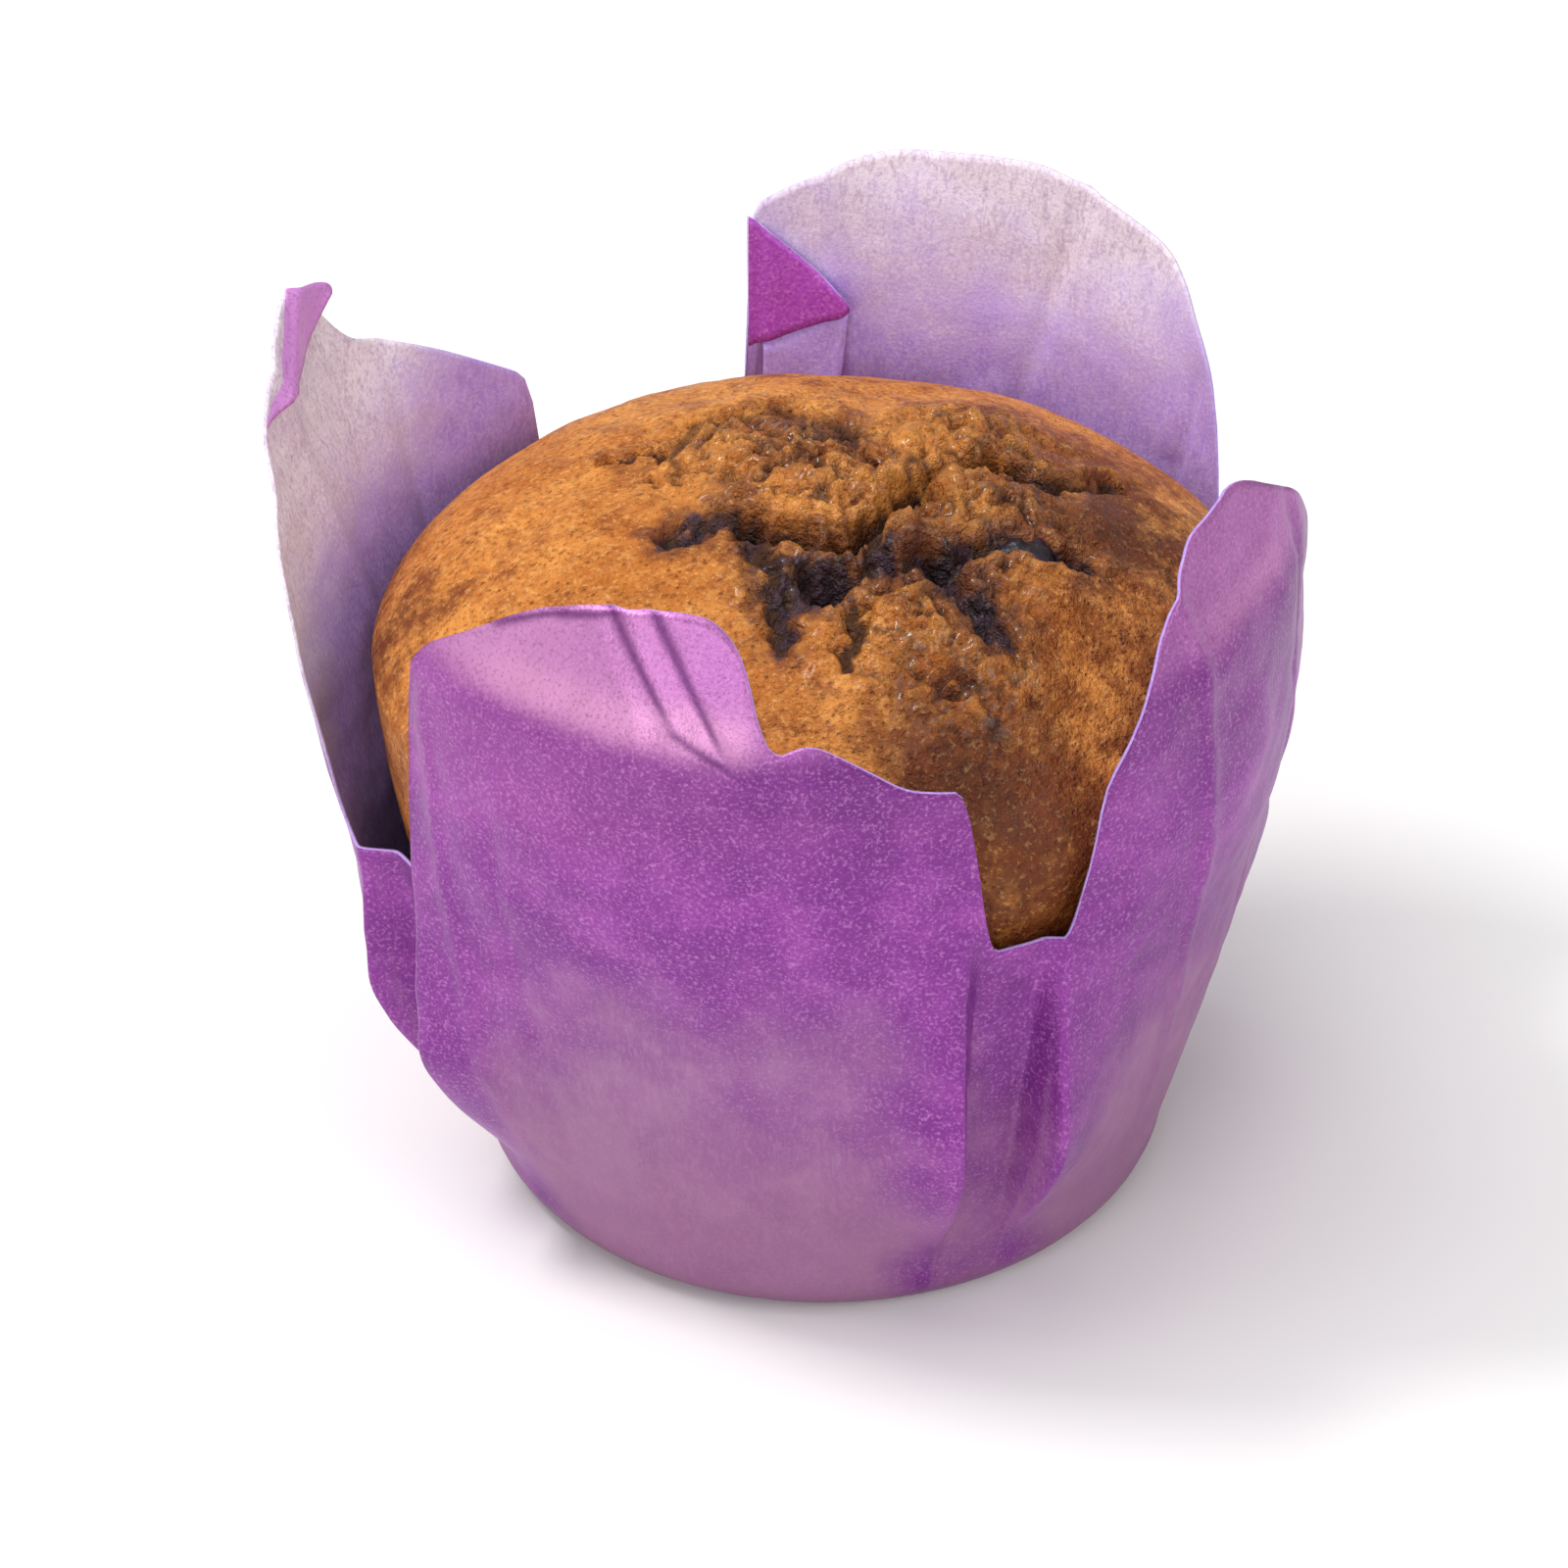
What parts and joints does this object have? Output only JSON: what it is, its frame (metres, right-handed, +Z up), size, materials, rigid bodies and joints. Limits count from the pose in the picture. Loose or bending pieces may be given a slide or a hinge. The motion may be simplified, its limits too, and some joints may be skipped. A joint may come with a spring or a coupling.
{
  "type": "muffin",
  "caption": "Baked berry muffin with a cracked, berry-stained golden crust, standing in a tulip-shaped satin purple paper case with tall petals.",
  "frame": {"origin": "centre of the flat underside of the paper case, where the muffin rests", "axes": "+Z up along the axis of the case, -Y towards the side that faces the viewer in the picture, +X to that viewer's right"},
  "size_m": [0.09, 0.0803, 0.077],
  "materials": {
    "crust": "baked golden-brown crust with fine pits, darker and glossier round the cracks",
    "fruit": "burst, wet, almost black berry skin",
    "paper": "satin purple greaseproof paper, paler and mottled on its inner side"
  },
  "bodies": {
    "root": {"cake": "crust", "berry_front": "fruit", "berry_right": "fruit", "paper_case": "paper"}
  },
  "joints": []
}
